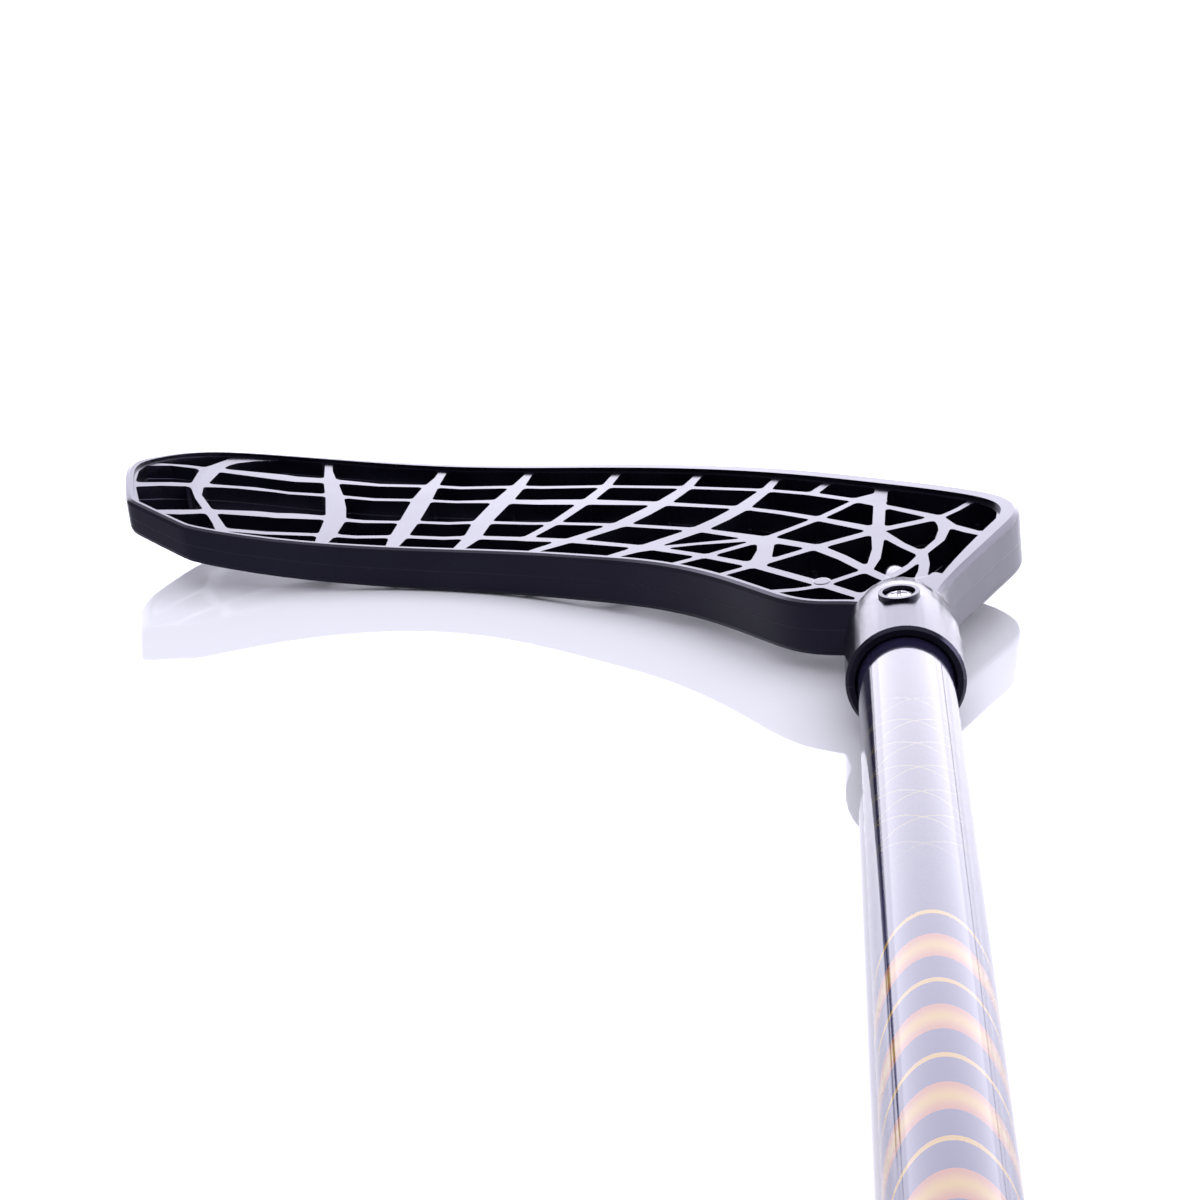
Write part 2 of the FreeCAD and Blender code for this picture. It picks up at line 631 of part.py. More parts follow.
def make_band():
    """The tape that holds the grip's end: a sleeve stepping from the grip down to the bare shaft."""
    on_shaft = "sizes.shaft_grip_diameter / 2 + sizes.sleeve_clearance"
    on_grip = f"{on_shaft} + sizes.grip_thickness + sizes.sleeve_clearance"
    end = "sizes.band_overlap + sizes.band_tail"
    return turned_body("grip_band", [
        (on_grip, "0"), (f"{on_grip} + sizes.band_thickness", "0"),
        (f"{on_grip} + sizes.band_thickness", "sizes.band_overlap + sizes.band_thickness"),
        (f"{on_shaft} + sizes.band_thickness", "sizes.band_overlap + sizes.band_thickness"),
        (f"{on_shaft} + sizes.band_thickness", end), (on_shaft, end),
        (on_shaft, "sizes.band_overlap"), (on_grip, "sizes.band_overlap"),
    ])


def make_cap():
    """The butt cap: a flange as wide as the neck, so the stick lies level, on a hollow plug."""
    flange = "sizes.neck_diameter / 2"
    plug = "sizes.shaft_diameter / 2 - sizes.shaft_wall - sizes.cap_plug_clearance"
    end = "sizes.cap_flange_thickness + sizes.cap_plug_length"
    return turned_body("end_cap", [
        ("0", "0"), (f"{flange} - sizes.cap_edge_bevel", "0"), (flange, "sizes.cap_edge_bevel"),
        (flange, "sizes.cap_flange_thickness"),
        (plug, "sizes.cap_flange_thickness"), (plug, end), (f"{plug} - sizes.cap_plug_wall", end),
        (f"{plug} - sizes.cap_plug_wall", "sizes.cap_flange_thickness"), ("0", "sizes.cap_flange_thickness"),
    ])


# Assembly

def resting_roll():
    """The roll about the shaft at which the blade's belly reaches the floor that the neck lies on."""
    radius = size("neck_diameter") / 2
    belly = [spot for spot in rim_loop(-1, 0).discretize(Number=ROLL_STATIONS) if spot.x < -radius]
    return min(
        math.atan2(spot.z, -spot.x) + math.asin(radius / math.hypot(spot.x, spot.z)) for spot in belly
    )


def box_of(shapes):
    """The exact box round several shapes."""
    box = FreeCAD.BoundBox()
    for shape in shapes:
        box.add(shape.optimalBoundingBox(False, False))
    return box


def assemble(pieces):
    """Put each piece in its seat, roll the stick to its rest and stand its box's base on the origin."""
    butt = size("socket_depth") - size("shaft_length")
    places = {
        "blade": FreeCAD.Placement(),
        "shaft": FreeCAD.Placement(AXIS_Y * butt, FreeCAD.Rotation()),
        "grip_wrap": FreeCAD.Placement(AXIS_Y * butt, FreeCAD.Rotation()),
        "grip_band": FreeCAD.Placement(
            AXIS_Y * (butt + size("grip_length") - size("band_overlap")), FreeCAD.Rotation()),
        "end_cap": FreeCAD.Placement(AXIS_Y * (butt - size("cap_flange_thickness")), FreeCAD.Rotation()),
    }
    for side, outward in (("top", AXIS_Z), ("heel", AXIS_X)):
        point = AXIS_Y * size("screw_station") + outward * (seat_height(side) - size("screw_length"))
        places[f"neck_screw_{side}"] = FreeCAD.Placement(point, FreeCAD.Rotation(AXIS_Y, outward))
    roll = FreeCAD.Placement(FreeCAD.Vector(), FreeCAD.Rotation(AXIS_Y, -math.degrees(resting_roll())))
    for piece in pieces:
        piece.Placement = roll.multiply(places[piece.Label])
    doc.recompute()
    box = box_of([piece.Shape for piece in pieces])
    base = FreeCAD.Placement(FreeCAD.Vector(-box.Center.x, -box.Center.y, -box.ZMin), FreeCAD.Rotation())
    for piece in pieces:
        piece.Placement = base.multiply(piece.Placement)
    doc.recompute()


def check(pieces):
    """Stop if any object of the document failed, or any piece isn't one sound solid."""
    for item in doc.Objects:
        if "Invalid" in item.State or "Error" in item.State:
            raise RuntimeError(f"{item.Label} failed: {item.State}")
    for piece in pieces:
        shape = piece.Shape
        if shape.isNull() or not shape.isValid() or len(shape.Solids) != 1:
            raise RuntimeError(f"{piece.Label} isn't one valid solid")


def write(pieces):
    """Write each piece to a file named after it."""
    os.makedirs("parts", exist_ok=True)
    for piece in pieces:
        piece.Shape.exportStep(os.path.join("parts", f"{piece.Label}.step"))
        print(piece.Label, "volume", round(piece.Shape.Volume), "faces", len(piece.Shape.Faces))


pieces = [
    make_blade(), make_shaft(), make_screw("top"), make_screw("heel"), make_grip(), make_band(), make_cap(),
]
assemble(pieces)
check(pieces)
write(pieces)
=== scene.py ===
"""Dresses a floorball stick that lies on a pale floor: blade, shaft, neck screws, grip, band and end cap."""
import json
import logging
import math
from dataclasses import dataclass
from enum import Enum

import bmesh
import bpy
import numpy as np
from mathutils import Matrix, Vector
from numpy.typing import NDArray


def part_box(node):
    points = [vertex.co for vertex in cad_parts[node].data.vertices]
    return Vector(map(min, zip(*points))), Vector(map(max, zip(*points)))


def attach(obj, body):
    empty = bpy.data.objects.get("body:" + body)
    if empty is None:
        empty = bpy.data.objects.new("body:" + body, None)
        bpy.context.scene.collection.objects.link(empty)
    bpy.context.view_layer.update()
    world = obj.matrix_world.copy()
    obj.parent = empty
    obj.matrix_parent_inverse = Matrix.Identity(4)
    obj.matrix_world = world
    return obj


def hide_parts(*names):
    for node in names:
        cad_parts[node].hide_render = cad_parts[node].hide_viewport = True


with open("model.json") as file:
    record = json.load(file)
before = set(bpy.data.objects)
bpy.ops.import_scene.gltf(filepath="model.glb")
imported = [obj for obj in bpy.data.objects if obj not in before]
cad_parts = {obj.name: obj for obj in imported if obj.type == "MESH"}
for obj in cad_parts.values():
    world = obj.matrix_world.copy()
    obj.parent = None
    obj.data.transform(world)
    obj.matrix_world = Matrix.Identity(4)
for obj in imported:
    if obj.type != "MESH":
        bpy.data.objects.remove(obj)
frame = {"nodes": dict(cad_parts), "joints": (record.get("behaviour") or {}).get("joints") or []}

Array = NDArray[np.float64]
Colour = tuple[float, float, float]
Triple = tuple[float, float, float]
Pair = tuple[float, float]
Object = bpy.types.Object
Mesh = bpy.types.Mesh
Material = bpy.types.Material
Socket = bpy.types.NodeSocket

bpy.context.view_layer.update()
MM = 0.001
FULL_TURN = 2.0 * math.pi
WELD = 1e-6
SLIVER = 1e-7
NOISE_RANGE = (0.3, 0.7)
RISING = (0.0, 1.0)
FALLING = (1.0, 0.0)
ROW_X = (1.0, 0.0, 0.0)
ROW_Y = (0.0, 1.0, 0.0)
SCREW_STATION = 23.0 * MM
LEVEL = "level"
LOG = logging.getLogger("stick")


class Slot(Enum):
    """The record's material slots."""

    BLADE = "blade_plastic"
    SHAFT = "shaft_lacquer"
    SCREW = "screw_steel"
    GRIP = "grip_tape"
    BAND = "band_tape"
    CAP = "cap_plastic"


class Body(Enum):
    """The bodies that pieces ride on."""

    STICK = "stick"
    TOP_SCREW = "top_screw"
    HEEL_SCREW = "heel_screw"


def joint_axis(name: str) -> Triple:
    """The direction in which a joint's screw comes out."""
    return tuple(next(joint["axis"] for joint in frame["joints"] if joint["name"] == name))


@dataclass(frozen=True)
class StickAxes:
    """Where the shaft's axis lies in the row frame, and how far the stick has rolled about it.

    The stick's own directions are across (towards the heel), along (towards the blade) and up (out of the
    blade's top face); its own origin is the point of the axis at the neck's mouth.
    """

    axis_x: float
    axis_z: float
    mouth_y: float
    roll: float

    @classmethod
    def from_frame(cls) -> "StickAxes":
        """Read the axis from the shaft's box and the roll from the top screw's way out."""
        low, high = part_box("shaft")
        out_x, _, out_z = joint_axis("top_screw_out")
        return cls(
            axis_x=(low.x + high.x) / 2,
            axis_z=(low.z + high.z) / 2,
            mouth_y=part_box("blade")[0].y,
            roll=math.atan2(-out_x, out_z),
        )

    @property
    def mouth(self) -> Triple:
        """The point of the axis at the neck's mouth."""
        return self.axis_x, self.mouth_y, self.axis_z

    def to_row(self, across: Array, along: Array, up: Array) -> Array:
        """Turn stick coordinates into row points.

        Args:
            across: distances towards the heel.
            along: distances from the mouth towards the blade.
            up: distances out of the blade's top face.

        Returns:
            The points in the row frame, with x, y and z on the last axis.
        """
        cosine, sine = math.cos(self.roll), math.sin(self.roll)
        x = self.axis_x + across * cosine - up * sine
        y = self.mouth_y + along
        z = self.axis_z + across * sine + up * cosine
        return np.stack(np.broadcast_arrays(x, y, z), axis=-1)

    def to_stick(self, points: Array) -> tuple[Array, Array, Array]:
        """Turn row points into stick coordinates.

        Args:
            points: points in the row frame.

        Returns:
            The distances across, along and up.
        """
        cosine, sine = math.cos(self.roll), math.sin(self.roll)
        x = points[..., 0] - self.axis_x
        z = points[..., 2] - self.axis_z
        return x * cosine + z * sine, points[..., 1] - self.mouth_y, z * cosine - x * sine


AXES = StickAxes.from_frame()


def smooth_step(low: float, high: float, value: Array) -> Array:
    """Rise from 0 to 1 along the cubic 3t² − 2t³, as a value goes from low to high."""
    t = np.clip((value - low) / (high - low), 0.0, 1.0)
    return t * t * (3.0 - 2.0 * t)


def turn_angles(columns: int) -> Array:
    """Evenly spaced angles of one turn, without the closing one."""
    return np.linspace(0.0, FULL_TURN, columns, endpoint=False)


def tube_faces(rows: int, columns: int) -> Array:
    """Quads over a grid whose last column joins its first.

    Args:
        rows: rows of the grid.
        columns: columns of the grid, all round.

    Returns:
        Four corner numbers for each quad, row by row.
    """
    row, column = np.meshgrid(np.arange(rows - 1), np.arange(columns), indexing="ij")
    here = row * columns + column
    following = row * columns + (column + 1) % columns
    return np.stack([here, following, following + columns, here + columns], axis=-1).reshape(-1, 4)


def rounded_profile(corners: Array, radii: Array, steps: int) -> Array:
    """Round the corners of a profile: each one becomes a quadratic curve from one side to the other.

    Args:
        corners: the profile's corners, as radius and height.
        radii: how far the rounding of each corner reaches back along its sides; the ends stay.
        steps: points on each rounded corner.

    Returns:
        The points of the rounded profile in order.
    """
    t = np.linspace(0.0, 1.0, steps)[:, None]
    middle = corners[1:-1]
    sides = np.stack([corners[:-2], corners[2:]]) - middle
    reach = sides / np.linalg.norm(sides, axis=-1, keepdims=True) * radii[:, None]
    start, end = (middle + reach)[:, :, None, :]
    curve = (1 - t) ** 2 * start + 2 * t * (1 - t) * middle[:, None, :] + t**2 * end
    return np.concatenate([corners[:1], curve.reshape(-1, 2), corners[-1:]])


def put_mesh(name: str, points: Array, faces: Array, sharp_degrees: float) -> Object:
    """Make a closed, welded mesh object whose faces point outwards.

    Args:
        name: the piece's name.
        points: its points in the row frame.
        faces: its quads.
        sharp_degrees: the angle for shade.

    Returns:
        The new object, at the origin and unturned.
    """
    mesh = bpy.data.meshes.new(name)
    mesh.from_pydata(points.reshape(-1, 3).tolist(), [], faces.tolist())
    weld(mesh)
    shade(mesh, sharp_degrees)
    return put_object(name, mesh)


def put_object(name: str, content: bpy.types.ID) -> Object:
    """Make an object and put it in the scene.

    Args:
        name: its name.
        content: its mesh, lamp or camera.

    Returns:
        The object.
    """
    thing = bpy.data.objects.new(name, content)
    bpy.context.scene.collection.objects.link(thing)
    return thing


def weld(mesh: Mesh) -> None:
    """Merge doubled points, drop faces that closed up and turn the shell outwards.

    Args:
        mesh: the mesh to weld, a closed shell.
    """
    shell = bmesh.new()
    shell.from_mesh(mesh)
    bmesh.ops.remove_doubles(shell, verts=shell.verts, dist=WELD)
    bmesh.ops.dissolve_degenerate(shell, edges=shell.edges, dist=SLIVER)
    if shell.calc_volume(signed=True) < 0:
        bmesh.ops.reverse_faces(shell, faces=shell.faces)
    shell.to_mesh(mesh)
    shell.free()


def shade(mesh: Mesh, sharp_degrees: float) -> None:
    """Shade a mesh smooth, with sharp edges where it turns by more than an angle.

    Args:
        mesh: the mesh to shade.
        sharp_degrees: the angle past which an edge stays sharp.
    """
    mesh.polygons.foreach_set("use_smooth", np.ones(len(mesh.polygons), dtype=bool))
    mesh.set_sharp_from_angle(angle=math.radians(sharp_degrees))
    mesh.update()


def settle(piece: Object, sharp_degrees: float) -> None:
    """Make a piece's modifiers part of its mesh and shade it again.

    Args:
        piece: the piece.
        sharp_degrees: the angle for shade.
    """
    evaluated = piece.evaluated_get(bpy.context.evaluated_depsgraph_get())
    mesh = bpy.data.meshes.new_from_object(evaluated)
    piece.modifiers.clear()
    piece.data = mesh
    shade(mesh, sharp_degrees)


def cut_away(piece: Object, cutter: Object, sharp_degrees: float) -> None:
    """Take one closed mesh out of another and remove the cutter.

    Args:
        piece: the piece that is cut.
        cutter: the shape taken out.
        sharp_degrees: the angle for shade.
    """
    cut = piece.modifiers.new("cut", "BOOLEAN")
    cut.operation = "DIFFERENCE"
    cut.solver = "EXACT"
    cut.object = cutter
    settle(piece, sharp_degrees)
    bpy.data.objects.remove(cutter)


@dataclass(frozen=True)
class TurnLine:
    """A line that rings are turned about: a point of it, its direction and that of the first spoke."""

    centre: Triple
    out: Triple
    forward: Triple

    def turn(self, name: str, radius: Array, height: Array, sharp_degrees: float) -> Object:
        """Carry rings along the line.

        The point at angle a of a ring lies its height along the line and its radius away from it: cos a of
        the radius along the first spoke, and sin a of it along the spoke at right angles to that one.

        Args:
            name: the piece's name.
            radius: the radius of each point, one row for each ring.
            height: the height of each point, or one for each ring.
            sharp_degrees: the angle for shade.

        Returns:
            The new object.
        """
        rings, columns = radius.shape
        angle = turn_angles(columns)[:, None]
        forward, out = np.array(self.forward), np.array(self.out)
        spokes = np.cos(angle) * forward + np.sin(angle) * np.cross(forward, out)
        points = np.array(self.centre) + radius[..., None] * spokes + height[..., None] * out
        return put_mesh(name, points, tube_faces(rings, columns), sharp_degrees)

    def revolve(self, name: str, profile: Array, columns: int, sharp_degrees: float) -> Object:
        """Turn a profile of radius and height about the line: each point goes round in a ring of columns."""
        return self.turn(name, np.tile(profile[:, :1], columns), profile[:, 1:], sharp_degrees)


SHAFT_LINE = TurnLine((AXES.axis_x, 0.0, AXES.axis_z), ROW_Y, ROW_X)


def screw_line(out: Triple) -> TurnLine:
    """The line of a screw: from the shaft's axis along the screw's way out of the neck."""
    return TurnLine((AXES.axis_x, AXES.mouth_y + SCREW_STATION, AXES.axis_z), tuple(out), ROW_Y)


@dataclass(frozen=True)
class Noise:
    """A noise: how many features it has to the metre, and in how many octaves."""

    scale: float
    detail: float


@dataclass(frozen=True)
class Relief:
    """How a bump stands out: the depth of its full height in metres, and its strength."""

    depth: float
    strength: float


class Wiring:
    """A material's node tree with short calls to add nodes and join them.

    The Mix node has sockets for every kind of value, so those for colours are told by their number.
    """

    colour_inputs: tuple[int, int] = (6, 7)
    colour_output: int = 2

    def __init__(self, name: str) -> None:
        """Start a material with a Principled shader.

        Args:
            name: the material's name.
        """
        self.material = bpy.data.materials.new(name)
        self.material.use_nodes = True
        self.tree = self.material.node_tree
        self.shader = self.tree.nodes["Principled BSDF"]
        self.place = self.add("ShaderNodeTexCoord").outputs["Object"]

    def add(self, kind: str, **settings: object) -> bpy.types.Node:
        """Add a node.

        Args:
            kind: the node's type.
            **settings: its properties.

        Returns:
            The node.
        """
        node = self.tree.nodes.new(kind)
        for key, value in settings.items():
            setattr(node, key, value)
        return node

    def join(self, source: Socket, target: Socket) -> None:
        """Join an output to an input."""
        self.tree.links.new(source, target)

    def feed(self, socket: Socket, value: object) -> None:
        """Join a socket to another one, or set it to a plain value.

        Args:
            socket: the input.
            value: an output socket, a number or a vector.
        """
        if isinstance(value, Socket):
            self.join(value, socket)
        else:
            socket.default_value = value

    def math(self, operation: str, *values: object) -> Socket:
        """Work out a number.

        Args:
            operation: the Math node's operation.
            *values: its inputs, sockets or numbers.

        Returns:
            The result's socket.
        """
        node = self.add("ShaderNodeMath", operation=operation)
        for socket, value in zip(node.inputs, values):
            self.feed(socket, value)
        return node.outputs[0]

    def away(self, value: Socket, middle: float) -> Socket:
        """How far a number is from a middle value."""
        return self.math("ABSOLUTE", self.math("SUBTRACT", value, middle))

    def within(self, value: Socket, middle: float, half_width: float) -> Socket:
        """1 where a number is less than a half width from a middle value, and 0 elsewhere."""
        return self.math("LESS_THAN", self.away(value, middle), half_width)

    def mapped(self, kind: str, entry: str, value: Triple) -> Socket:
        """Put object coordinates through a Mapping node.

        Args:
            kind: the node's vector type, TEXTURE to measure from a point and POINT to stretch.
            entry: the input that is set.
            value: what it is set to.

        Returns:
            The vector's socket.
        """
        node = self.add("ShaderNodeMapping", vector_type=kind)
        node.inputs[entry].default_value = value
        self.join(self.place, node.inputs["Vector"])
        return node.outputs[0]

    def noise(self, noise: Noise, place: Socket | None = None) -> Socket:
        """Add a noise.

        Args:
            noise: its fineness.
            place: the coordinates' socket, or nothing for plain object coordinates.

        Returns:
            The noise's value.
        """
        node = self.add("ShaderNodeTexNoise")
        node.inputs["Scale"].default_value = noise.scale
        node.inputs["Detail"].default_value = noise.detail
        self.join(place or self.place, node.inputs["Vector"])
        return node.outputs["Fac"]

    def span(self, value: Socket, limits: Pair, results: Pair) -> Socket:
        """Carry a number from one range smoothly into another.

        Args:
            value: the number's socket.
            limits: where the first range starts and ends.
            results: the results at its start and end.

        Returns:
            The result's socket.
        """
        node = self.add("ShaderNodeMapRange", interpolation_type="SMOOTHSTEP")
        for socket, part in zip(node.inputs, (value, *limits, *results)):
            self.feed(socket, part)
        return node.outputs[0]

    def mix(self, share: Socket, first: object, second: object) -> Socket:
        """Mix two colours.

        Args:
            share: how much of the second.
            first: a colour or socket.
            second: a colour or socket.

        Returns:
            The mixed colour's socket.
        """
        node = self.add("ShaderNodeMix", data_type="RGBA")
        self.feed(node.inputs[0], share)
        for number, value in zip(self.colour_inputs, (first, second)):
            self.feed(node.inputs[number], value if isinstance(value, Socket) else (*value, 1.0))
        return node.outputs[self.colour_output]

    def blend(self, value: Socket, limits: Pair, first: object, second: object) -> Socket:
        """Pass from the first colour to the second as a number passes from one limit to the other."""
        return self.mix(self.span(value, limits, RISING), first, second)

    def bump(self, height: Socket, relief: Relief, under: Socket | None = None) -> Socket:
        """Raise a surface by a height.

        Args:
            height: the height's socket, from 0 to 1.
            relief: how the bump stands out.
            under: the normal of another bump below this one, if there is one.

        Returns:
            The normal's socket.
        """
        node = self.add("ShaderNodeBump")
        node.inputs["Strength"].default_value = relief.strength
        node.inputs["Distance"].default_value = relief.depth
        self.feed(node.inputs["Height"], height)
        if under is not None:
            self.join(under, node.inputs["Normal"])
        return node.outputs[0]

    def set(self, **values: object) -> None:
        """Set or feed the shader's sockets, named with underscores for spaces."""
        for key, value in values.items():
            self.feed(self.shader.inputs[key.replace("_", " ")], value)


@dataclass(frozen=True)
class Finish:
    """A surface whose colour and gloss change together, in patches that follow one noise.

    Its relief follows a finer grain, or the patches where there is none.
    """

    name: str
    colour: Colour
    second: Colour
    limits: Pair
    gloss: Pair
    patches: Noise
    relief: Relief | None = None
    grain: Noise | None = None
    stretch: Triple = (1.0, 1.0, 1.0)
    metal: float = 0.0
    specular: float = 0.5
    tint: Colour = (1.0, 1.0, 1.0)
    sheen: float = 0.0
    coat: float = 0.0
    coat_roughness: float = 0.03

    def paint(self, wiring: Wiring, patches: Socket) -> Socket:
        """The colour's socket: the first colour passes to the second with the patches."""
        return wiring.blend(patches, self.limits, self.colour, self.second)

    def normal(self, wiring: Wiring, patches: Socket) -> Socket:
        """The normal's socket: the grain, or else the patches, stand out by the relief."""
        height = wiring.noise(self.grain) if self.grain else patches
        return wiring.bump(height, self.relief)

    def material(self) -> Material:
        """Wire the finish.

        Returns:
            The material.
        """
        wiring = Wiring(self.name)
        patches = wiring.noise(self.patches, wiring.mapped("POINT", "Scale", self.stretch))
        wiring.set(
            Base_Color=self.paint(wiring, patches),
            Metallic=self.metal,
            Roughness=wiring.span(patches, NOISE_RANGE, self.gloss),
            Specular_IOR_Level=self.specular,
            Specular_Tint=(*self.tint, 1.0),
            Sheen_Weight=self.sheen,
            Coat_Weight=self.coat,
            Coat_Roughness=self.coat_roughness,
        )
        if self.relief:
            wiring.set(Normal=self.normal(wiring, patches))
        return wiring.material


@dataclass(frozen=True)
class BladePlastic(Finish):
    """Black moulded plastic, polished and satin in soft clouds, with the mould's parting line."""

    name: str = "blade_plastic"
    colour: Colour = (0.0020, 0.0018, 0.0045)
    second: Colour = (0.0050, 0.0046, 0.0090)
    limits: Pair = (0.3, 0.75)
    gloss: Pair = (0.15, 0.24)
    patches: Noise = Noise(45.0, 4.0)
    relief: Relief = Relief(0.03 * MM, 0.35)
    grain: Noise = Noise(2600.0, 2.0)
    specular: float = 0.19
    tint: Colour = (0.68, 0.65, 1.0)
    parting_limits: Pair = (0.0, 0.16 * MM)
    parting_relief: Relief = Relief(0.12 * MM, 0.8)

    def normal(self, wiring: Wiring, patches: Socket) -> Socket:
        """Raise the parting line, where the stored level is close to 0, over the grain.

        Args:
            wiring: the material.
            patches: the patches' value.

        Returns:
            The normal's socket.
        """
        level = wiring.add("ShaderNodeAttribute", attribute_name=LEVEL).outputs["Fac"]
        parting = wiring.span(wiring.math("ABSOLUTE", level), self.parting_limits, FALLING)
        return wiring.bump(parting, self.parting_relief, super().normal(wiring, patches))


@dataclass(frozen=True)
class ShaftLacquer(Finish):
    """A dark composite tube with a fine printed hatch and slanted bands under a clear lacquer.

    The first colour passes to the second down the shaft. The patches are the tube's weave.
    """

    name: str = "shaft_lacquer"
    colour: Colour = (0.010, 0.0085, 0.026)
    second: Colour = (0.026, 0.025, 0.095)
    limits: Pair = (60.0 * MM, 200.0 * MM)
    gloss: Pair = (0.3, 0.42)
    patches: Noise = Noise(320.0, 3.0)
    relief: Relief = Relief(0.02 * MM, 0.15)
    stretch: Triple = (1.0, 0.12, 1.0)
    specular: float = 0.0
    coat: float = 0.9
    coat_roughness: float = 0.08
    fleck: Colour = (0.034, 0.029, 0.085)
    flecks: Noise = Noise(5200.0, 1.0)
    fleck_limits: Pair = (0.58, 0.66)
    straw: Colour = (0.12, 0.098, 0.042)
    hatch_start: float = 22.0 * MM
    hatch_end: float = 132.0 * MM
    hatch_pitch: float = 13.0 * MM
    hatch_turns: float = 3.0
    hatch_half_width: float = 0.32 * MM
    gold: Colour = (0.34, 0.20, 0.022)
    rose: Colour = (0.28, 0.085, 0.035)
    band_start: float = 180.0 * MM
    band_count: int = 12
    band_pitch: float = 28.0 * MM
    band_half_width: float = 4.6 * MM
    band_slant: float = -18.0 * MM
    pin_reach: float = 14.0 * MM
    pin_half_width: float = 0.8 * MM

    def hatch(self, wiring: Wiring, below: Socket, angle: Socket) -> Socket:
        """Fine lines that wind round the tube both ways, between two distances below the mouth.

        A line runs wherever the distance below the mouth plus or minus the turned angle's share of the lead
        is a whole number of pitches.

        Args:
            wiring: the material.
            below: the distance below the mouth.
            angle: the angle round the tube.

        Returns:
            1 on a line, fading to 0 at the ends.
        """
        climb = wiring.math("MULTIPLY", angle, self.hatch_turns * self.hatch_pitch / FULL_TURN)
        lines = []
        for operation in ("ADD", "SUBTRACT"):
            away = wiring.math("PINGPONG", wiring.math(operation, below, climb), self.hatch_pitch / 2)
            lines.append(wiring.math("LESS_THAN", away, self.hatch_half_width))
        reach = wiring.away(below, (self.hatch_start + self.hatch_end) / 2)
        half = (self.hatch_end - self.hatch_start) / 2
        fade = wiring.span(reach, (half / 2, half), FALLING)
        return wiring.math("MULTIPLY", wiring.math("MAXIMUM", *lines), fade)

    def banded(self, wiring: Wiring, below: Socket, angle: Socket, under: Socket) -> Socket:
        """Print slanted bands, gold in the middle and rose at the edge, with a pin line midway between them.

        The distance below the mouth, less the slant times the angle's cosine, is folded at half a pitch, so
        that it counts from the middle of the nearest band. Nothing is printed past the outermost pin lines.

        Args:
            wiring: the material.
            below: the distance below the mouth.
            angle: the angle round the tube.
            under: the colour that the bands are printed on.

        Returns:
            The colour's socket.
        """
        swing = wiring.math("MULTIPLY", wiring.math("COSINE", angle), self.band_slant)
        slanted = wiring.math("SUBTRACT", wiring.math("SUBTRACT", below, swing), self.band_start)
        half_run = (self.band_count - 1) * self.band_pitch / 2
        printed = wiring.within(slanted, half_run, half_run + self.pin_reach + self.pin_half_width)
        away = wiring.math("PINGPONG", slanted, self.band_pitch / 2)
        on_band = wiring.math("LESS_THAN", away, self.band_half_width)
        on_pin = wiring.within(away, self.pin_reach, self.pin_half_width)
        band_colour = wiring.blend(away, (0.0, self.band_half_width), self.gold, self.rose)
        banded = wiring.mix(wiring.math("MULTIPLY", on_band, printed), under, band_colour)
        return wiring.mix(wiring.math("MULTIPLY", on_pin, printed), banded, self.gold)

    def paint(self, wiring: Wiring, patches: Socket) -> Socket:
        """Print the tube: a flecked ground that deepens down the shaft, the hatch, then the bands.

        Args:
            wiring: the material.
            patches: the weave's value, which the print doesn't follow.

        Returns:
            The colour's socket.
        """
        parts = wiring.add("ShaderNodeSeparateXYZ")
        wiring.join(wiring.mapped("TEXTURE", "Location", AXES.mouth), parts.inputs[0])
        across, along, up = parts.outputs
        below = wiring.math("MULTIPLY", along, -1.0)
        angle = wiring.math("ARCTAN2", across, up)
        ground = wiring.blend(below, self.limits, self.colour, self.second)
        flecked = wiring.blend(wiring.noise(self.flecks), self.fleck_limits, ground, self.fleck)
        hatched = wiring.mix(self.hatch(wiring, below, angle), flecked, self.straw)
        return self.banded(wiring, below, angle, hatched)


@dataclass(frozen=True)
class GripTape(Finish):
    """Soft black wound tape: dull, slightly tacky, worn in patches and finely dimpled."""

    name: str = "grip_tape"
    colour: Colour = (0.018, 0.017, 0.02)
    second: Colour = (0.045, 0.043, 0.048)
    limits: Pair = (0.42, 0.72)
    gloss: Pair = (0.62, 0.78)
    patches: Noise = Noise(60.0, 5.0)
    relief: Relief = Relief(0.25 * MM, 0.6)
    specular: float = 0.35
    sheen: float = 0.15
    dimple_scale: float = 520.0
    dimple_limits: Pair = (0.1, 0.42)

    def normal(self, wiring: Wiring, patches: Socket) -> Socket:
        """Press in dimples, one in the middle of each small cell.

        Args:
            wiring: the material.
            patches: the wear's value, which the dimples don't follow.

        Returns:
            The normal's socket.
        """
        cells = wiring.add("ShaderNodeTexVoronoi", feature="F1")
        cells.inputs["Scale"].default_value = self.dimple_scale
        wiring.join(wiring.place, cells.inputs["Vector"])
        hollow = wiring.span(cells.outputs["Distance"], self.dimple_limits, RISING)
        return wiring.bump(hollow, self.relief)


# Bright zinc-plated steel: cloudy plating with fine turning marks
SCREW_STEEL = Finish(
    name="screw_steel",
    colour=(0.36, 0.35, 0.38),
    second=(0.24, 0.235, 0.26),
    limits=(0.35, 0.7),
    gloss=(0.3, 0.44),
    patches=Noise(700.0, 4.0),
    relief=Relief(0.01 * MM, 0.3),
    grain=Noise(9000.0, 2.0),
    metal=1.0,
)
# Satin orange finishing tape, creased round the shaft and uneven in colour
BAND_TAPE = Finish(
    name="band_tape",
    colour=(0.72, 0.27, 0.06),
    second=(0.55, 0.18, 0.04),
    limits=(0.35, 0.7),
    gloss=(0.3, 0.42),
    patches=Noise(240.0, 3.0),
    relief=Relief(0.06 * MM, 0.5),
    stretch=(0.25, 1.0, 0.25),
)
